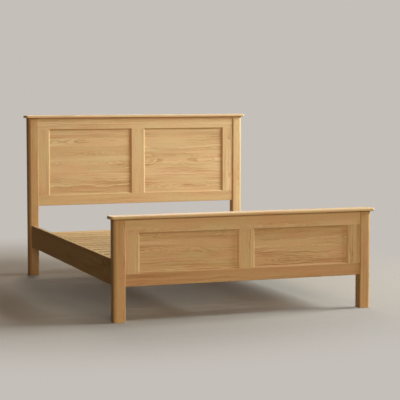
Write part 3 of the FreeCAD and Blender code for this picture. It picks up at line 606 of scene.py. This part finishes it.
def cut_recess(screw, depth, reach):
    """Press a cross into the head, narrower at its floor."""
    for turn in (0.0, math.pi / 2):
        bpy.ops.object.select_all(action="DESELECT")
        bpy.ops.mesh.primitive_cube_add(size=1.0, location=(0.0, 0.0, 0.0), rotation=(0.0, 0.0, turn))
        arm = bpy.context.object
        arm.scale = (reach * 2, reach * ARM_WIDTH, depth * 2)
        bpy.ops.object.transform_apply(location=True, rotation=True, scale=True)
        bpy.ops.object.mode_set(mode="EDIT")
        bpy.ops.mesh.select_all(action="DESELECT")
        work = bmesh.from_edit_mesh(arm.data)
        for face in work.faces:
            if face.normal.z < FACES_DOWN:
                face.select_set(True)
        bmesh.update_edit_mesh(arm.data)
        bpy.ops.transform.resize(value=(RECESS_TAPER, RECESS_TAPER, 1.0), center_override=(0.0, 0.0, -depth))
        bpy.ops.object.mode_set(mode="OBJECT")
        select_only(screw)
        press = screw.modifiers.new("recess", "BOOLEAN")
        press.operation = "DIFFERENCE"
        press.object = arm
        press.solver = "EXACT"
        bpy.ops.object.modifier_apply(modifier=press.name)
        bpy.data.objects.remove(arm, do_unlink=True)


def middle_of(points):
    """The mean of some points, rounded so that the screws come in the same order each time."""
    return tuple(round(part, 4) for part in sum(points, Vector()) / len(points))


def solids_of(name):
    """The corners of each separate solid in a CAD node."""
    work = bmesh.new()
    work.from_mesh(nodes[name].data)
    bmesh.ops.remove_doubles(work, verts=work.verts, dist=SAME_POINT)
    seen, found = set(), []
    for start in work.verts:
        if start in seen:
            continue
        seen.add(start)
        reached = [start]
        for point in reached:
            for edge in point.link_edges:
                other = edge.other_vert(point)
                if other not in seen:
                    seen.add(other)
                    reached.append(other)
        found.append([point.co.copy() for point in reached])
    work.free()
    return sorted(found, key=middle_of)


def screw_lies(points):
    """Where a CAD screw's head top is, and the way it points outwards from there."""
    low, high = corners_of(points)
    size, middle = high - low, (low + high) / 2
    along = max(range(3), key=lambda axis: size[axis])
    widest = max(points, key=lambda point: sum((point[axis] - middle[axis]) ** 2
                                               for axis in range(3) if axis != along))
    outwards = Vector((0.0, 0.0, 0.0))
    outwards[along] = 1.0 if widest[along] > middle[along] else -1.0
    top = middle.copy()
    top[along] = high[along] if outwards[along] > 0 else low[along]
    return top, outwards


def drive_screws(name, screw):
    """Put a copy of the screw where each screw of the CAD node is, its cross turned a little differently."""
    copies = []
    for number, points in enumerate(solids_of(name)):
        top, outwards = screw_lies(points)
        copy = bpy.data.objects.new("%s_%02d" % (name, number + 1), screw.data.copy())
        bpy.context.scene.collection.objects.link(copy)
        stand = outwards.to_track_quat("Z", "Y").to_matrix().to_4x4()
        turn = Matrix.Rotation(number * HEAD_TURN, 4, "Z")
        copy.data.transform(Matrix.Translation(top) @ stand @ turn)
        copies.append(copy)
    bpy.ops.object.select_all(action="DESELECT")
    for copy in copies:
        copy.select_set(True)
    bpy.context.view_layer.objects.active = copies[0]
    bpy.ops.object.join()
    piece = bpy.context.object
    piece.name = name + "_driven"
    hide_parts(name)
    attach(piece, "root")
    bpy.data.objects.remove(screw, do_unlink=True)


# ---------------------------------------------------------------- every piece

steel = make_steel_material("zinc_plated_steel", linear(196, 197, 200))
# The arrises are oak of a lighter tone than the boards: a painted highlight along every sanded edge.
ARRIS_HEART, ARRIS_HIGHLIGHT_TONE = (0.0, 0.11, 0.05), 0.22
arris_highlights = {grain: make_board_material("oak_arris_highlight_" + grain, grain, (0.0, 0.0, 0.0), ARRIS_HEART, ARRIS_HIGHLIGHT_TONE,
                                      ARRIS_FIGURE) for grain in GRAIN_TURNS}


def dress_wood(name, index):
    """Give a wooden node its own board's material, and a lighter arris, a painted highlight, unless it is a
    hidden tongue.
    """
    low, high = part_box(name)
    centre = tuple((low[axis] + high[axis]) / 2 for axis in range(3))
    grain = grain_of(name)
    heart = heart_of(name, index)
    if "tongue" in name:
        give_material(name, make_board_material(name + "_beech", grain, centre, heart, 0.0, TONGUE_FIGURE,
                                                wood_group=beech_group))
        return
    tone = BOARD_TONES_AND_PAINTED_LIGHT.get(name, ((index * 5) % 7 - 3) * TONE_STEP)
    staves = PANEL_STAVES.get(name, ())
    figure = PANEL_FIGURE if staves else BOARD_FIGURE
    shine = next((part for word, part in SHINES if word in name), BOARD_SHINE)
    material = make_board_material(name + "_oak", grain, centre, heart, tone, figure, staves, shine)
    ease_board(name, OAK_ARRIS, [material, arris_highlights[grain]])


for index, name in enumerate(sorted(nodes)):
    if "screws" in name:
        continue
    if "bracket" in name or "bolts" in name:
        ease_board(name, STEEL_ARRIS, [steel])
    elif "inserts" in name:
        give_material(name, steel)
    else:
        dress_wood(name, index)

# Each kind of screw: its rings, and the depth and reach of its recess.
SCREWS = {"slat_screw": (countersunk(0.00425, 0.00225, 0.034), 0.0016, 0.0021),
          "ledger_screw": (countersunk(0.005, 0.0025, 0.044), 0.002, 0.0026),
          "hanger_screw": (countersunk(0.005, 0.0025, 0.044), 0.002, 0.0026),
          "bracket_screw": (pan_headed(0.0048, 0.0025, 0.0025, 0.0215), 0.0018, 0.0026)}
for name, (rings, recess_depth, recess_reach) in SCREWS.items():
    drive_screws(name + "s", make_screw(name, rings, recess_depth, recess_reach, steel))

# ---------------------------------------------------------------- stage, lights and camera

FLOOR_COLOUR = linear(156, 144, 131)
WALL_COLOUR = linear(197, 191, 185)
FLOOR_SIZE, FLOOR_MIDDLE = 40.0, (-0.5, 0.5, -0.0005)
FLOOR_FADE = (1.3, 3.1)
ROOM_COLOUR, ROOM_LIGHT = (1.0, 0.76, 0.54), 0.034

# Name, place, what it aims at, size, power in watts, and colour.
LAMPS = [("window_light", (6.2, -1.3, 3.6), (0.0, 0.2, 0.5), (3.0, 2.8), 1080.0, (0.77, 0.92, 1.0)),
         ("front_fill", (-0.8, -10.0, 3.2), (0.0, 0.0, 0.5), (4.5, 3.2), 480.0, (1.0, 0.84, 0.6)),
         ("back_light", (2.0, 7.6, 5.6), (0.0, 0.0, 0.6), (4.0, 3.0), 370.0, (1.0, 0.9, 0.78))]

# Place in metres, tilt and turn in degrees, lens and sensor in millimetres.
CAMERA_PLACE = (-2.9714, -8.3589, 1.3313)
CAMERA_TILT, CAMERA_TURN = 85.251, -20.207
CAMERA_LENS, CAMERA_SENSOR = 121.78, 36.0
CAMERA_REACH = 200.0


def make_stage():
    """A plain floor that fades out some way from the bed, and isn't there from below."""
    bpy.ops.object.select_all(action="DESELECT")
    bpy.ops.mesh.primitive_plane_add(size=FLOOR_SIZE, location=FLOOR_MIDDLE)
    floor = bpy.context.object
    floor.name = "stage_floor"
    material, tree, place = new_material("stage_pale")
    distance = add(tree, "ShaderNodeVectorMath", {0: place}, operation="LENGTH").outputs["Value"]
    near, far = FLOOR_FADE
    shown = add(tree, "ShaderNodeMapRange", {"Value": distance, "From Min": near, "From Max": far,
                                             "To Min": 1.0, "To Max": 0.0}, interpolation_type="SMOOTHSTEP")
    above = maths(tree, "SUBTRACT", 1.0, add(tree, "ShaderNodeNewGeometry").outputs["Backfacing"])
    shown = maths(tree, "MULTIPLY", shown.outputs[0], above)
    shader = add(tree, "ShaderNodeBsdfPrincipled", {"Base Color": FLOOR_COLOUR + (1.0,), "Roughness": 0.9,
                                                    "Specular IOR Level": 0.2, "Alpha": shown})
    add(tree, "ShaderNodeOutputMaterial", {"Surface": shader.outputs[0]})
    floor.data.materials.append(material)


def add_area_light(name, place, aim, size, power, colour):
    """A soft rectangular lamp turned towards a point."""
    data = bpy.data.lights.new(name, "AREA")
    data.shape = "RECTANGLE"
    data.size, data.size_y = size
    data.energy = power
    data.color = colour
    lamp = bpy.data.objects.new(name, data)
    lamp.location = place
    lamp.rotation_euler = (Vector(aim) - Vector(place)).to_track_quat("-Z", "Y").to_euler()
    bpy.context.scene.collection.objects.link(lamp)


def make_room():
    """A little warm light from all round, and a pale wall where the camera or a reflection looks."""
    world = bpy.data.worlds.new("pale_room")
    bpy.context.scene.world = world
    world.use_nodes = True
    tree = world.node_tree
    tree.nodes.clear()
    rays = add(tree, "ShaderNodeLightPath")
    seen = maths(tree, "ADD", rays.outputs["Is Camera Ray"], rays.outputs["Is Glossy Ray"])
    seen = maths(tree, "ADD", seen, rays.outputs["Is Transmission Ray"], clamp=True)
    light = add(tree, "ShaderNodeBackground", {"Color": ROOM_COLOUR + (1.0,), "Strength": ROOM_LIGHT})
    wall = add(tree, "ShaderNodeBackground", {"Color": WALL_COLOUR + (1.0,), "Strength": 1.0})
    both = add(tree, "ShaderNodeMixShader", {0: seen, 1: light.outputs[0], 2: wall.outputs[0]})
    add(tree, "ShaderNodeOutputWorld", {"Surface": both.outputs[0]})


def make_camera():
    """The view from the foot's left, a little above the headboard."""
    data = bpy.data.cameras.new("camera")
    data.sensor_width = CAMERA_SENSOR
    data.lens = CAMERA_LENS
    data.clip_end = CAMERA_REACH
    camera = bpy.data.objects.new("camera", data)
    camera.location = CAMERA_PLACE
    camera.rotation_euler = (math.radians(CAMERA_TILT), 0.0, math.radians(CAMERA_TURN))
    bpy.context.scene.collection.objects.link(camera)
    bpy.context.scene.camera = camera


make_stage()
for lamp in LAMPS:
    add_area_light(*lamp)
make_room()
make_camera()
bpy.context.scene.view_settings.view_transform = "Standard"
